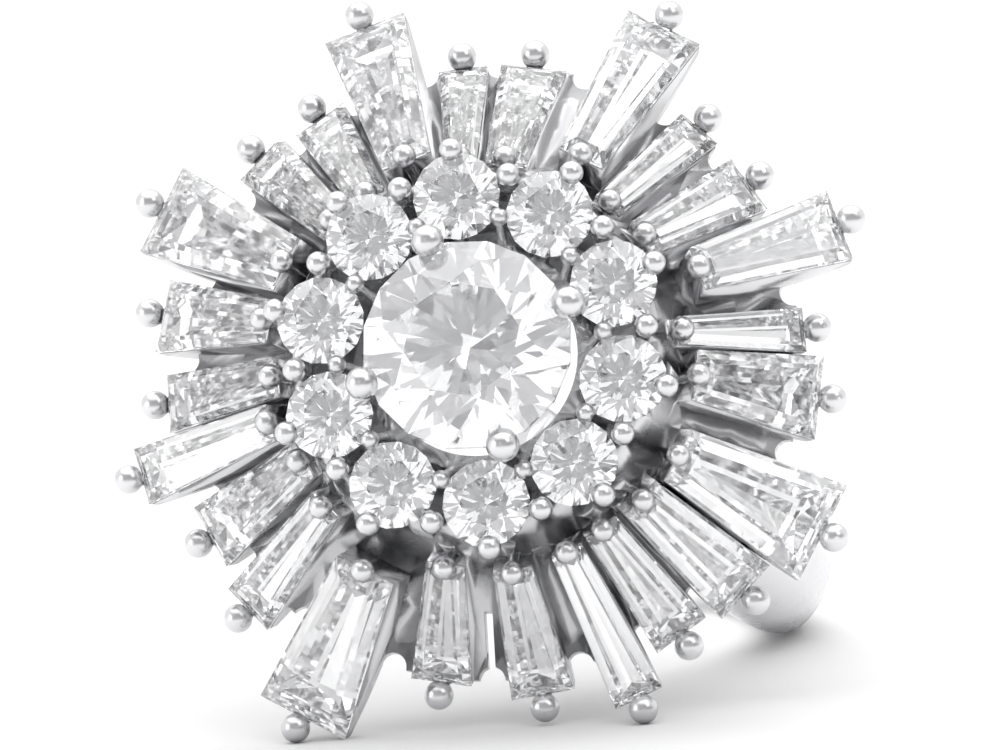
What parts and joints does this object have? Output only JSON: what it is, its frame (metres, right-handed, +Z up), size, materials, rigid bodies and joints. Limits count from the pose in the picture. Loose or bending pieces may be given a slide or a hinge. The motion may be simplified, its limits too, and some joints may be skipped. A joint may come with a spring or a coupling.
{
  "type": "ballerina ring",
  "caption": "Ballerina ring: a large round stone in a cluster of smaller rounds, ringed by a waved skirt of sloping tapered baguettes on an open gallery and a plain band.",
  "frame": {"origin": "on the surface that the ring lies on, under the middle of its bounding box", "axes": "+Z up from the surface; the ring lies on its side, with the finger's axis along (0.585, 0.256, 0.770) and the head pointing along (0, -0.949, 0.315), so +Y is towards the back of the band"},
  "size_m": [0.0242, 0.0276, 0.0224],
  "materials": {
    "white_gold": "polished",
    "diamond": "polished"
  },
  "bodies": {
    "root": {"mount": "white_gold", "centre_stone": "diamond", "round_stone_1": "diamond", "round_stone_2": "diamond", "round_stone_3": "diamond", "round_stone_4": "diamond", "round_stone_5": "diamond", "round_stone_6": "diamond", "round_stone_7": "diamond", "round_stone_8": "diamond", "round_stone_9": "diamond", "round_stone_10": "diamond", "baguette_1": "diamond", "baguette_2": "diamond", "baguette_3": "diamond", "baguette_4": "diamond", "baguette_5": "diamond", "baguette_6": "diamond", "baguette_7": "diamond", "baguette_8": "diamond", "baguette_9": "diamond", "baguette_10": "diamond", "baguette_11": "diamond", "baguette_12": "diamond", "baguette_13": "diamond", "baguette_14": "diamond", "baguette_15": "diamond", "baguette_16": "diamond", "baguette_17": "diamond", "baguette_18": "diamond", "baguette_19": "diamond", "baguette_20": "diamond", "baguette_21": "diamond", "baguette_22": "diamond", "baguette_23": "diamond", "baguette_24": "diamond"}
  },
  "joints": []
}
